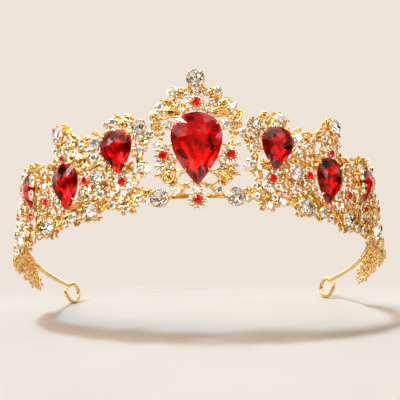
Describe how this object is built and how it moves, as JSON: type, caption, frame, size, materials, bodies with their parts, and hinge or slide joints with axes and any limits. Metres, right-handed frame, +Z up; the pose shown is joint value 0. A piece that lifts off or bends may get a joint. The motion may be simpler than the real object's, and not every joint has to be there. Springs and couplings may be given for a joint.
{
  "type": "tiara",
  "caption": "Gold openwork tiara headband with red pear stones, clear round stones in cup settings, and two wire arms ending in eyes.",
  "frame": {"origin": "centre of the bounding box on the surface that the crown rests on", "axes": "+Z up from the band to the crest, -Y out of the centre front, +X to the viewer's right when facing the front"},
  "size_m": [0.1396, 0.1344, 0.0511],
  "materials": {
    "gold_band": "polished gold plate",
    "gold_casting": "polished gold plate",
    "red_crystal": "faceted, foiled back",
    "clear_crystal": "faceted, foiled back"
  },
  "bodies": {
    "root": {"base_band": "gold_band", "centre_panel": "gold_casting", "clear_stone_between_pears_left": "clear_crystal", "clear_stone_between_pears_right": "clear_crystal", "clear_stone_corner_drop_left": "clear_crystal", "clear_stone_corner_drop_right": "clear_crystal", "clear_stone_crest": "clear_crystal", "clear_stone_front_drop_left": "clear_crystal", "clear_stone_front_drop_right": "clear_crystal", "clear_stone_peak_left": "clear_crystal", "clear_stone_peak_right": "clear_crystal", "clear_stone_shoulder_drop_left": "clear_crystal", "clear_stone_shoulder_drop_right": "clear_crystal", "clear_stone_temple_drop_left": "clear_crystal", "clear_stone_temple_drop_right": "clear_crystal", "clear_stone_upper_inner_left": "clear_crystal", "clear_stone_upper_inner_right": "clear_crystal", "cup_between_pears_left": "gold_casting", "cup_between_pears_right": "gold_casting", "cup_corner_drop_left": "gold_casting", "cup_corner_drop_right": "gold_casting", "cup_crest": "gold_casting", "cup_front_drop_left": "gold_casting", "cup_front_drop_right": "gold_casting", "cup_peak_left": "gold_casting", "cup_peak_right": "gold_casting", "cup_shoulder_drop_left": "gold_casting", "cup_shoulder_drop_right": "gold_casting", "cup_temple_drop_left": "gold_casting", "cup_temple_drop_right": "gold_casting", "cup_upper_inner_left": "gold_casting", "cup_upper_inner_right": "gold_casting", "end_panel_left": "gold_casting", "end_panel_right": "gold_casting", "inner_panel_left": "gold_casting", "inner_panel_right": "gold_casting", "outer_panel_left": "gold_casting", "outer_panel_right": "gold_casting", "pear_setting_centre": "gold_casting", "pear_setting_inner_left": "gold_casting", "pear_setting_inner_right": "gold_casting", "pear_setting_outer_left": "gold_casting", "pear_setting_outer_right": "gold_casting", "pear_setting_side_left": "gold_casting", "pear_setting_side_right": "gold_casting", "pear_stone_centre": "red_crystal", "pear_stone_inner_left": "red_crystal", "pear_stone_inner_right": "red_crystal", "pear_stone_outer_left": "red_crystal", "pear_stone_outer_right": "red_crystal", "pear_stone_side_left": "red_crystal", "pear_stone_side_right": "red_crystal", "side_panel_left": "gold_casting", "side_panel_right": "gold_casting", "wire_arm_left": "gold_band", "wire_arm_right": "gold_band"}
  },
  "joints": []
}
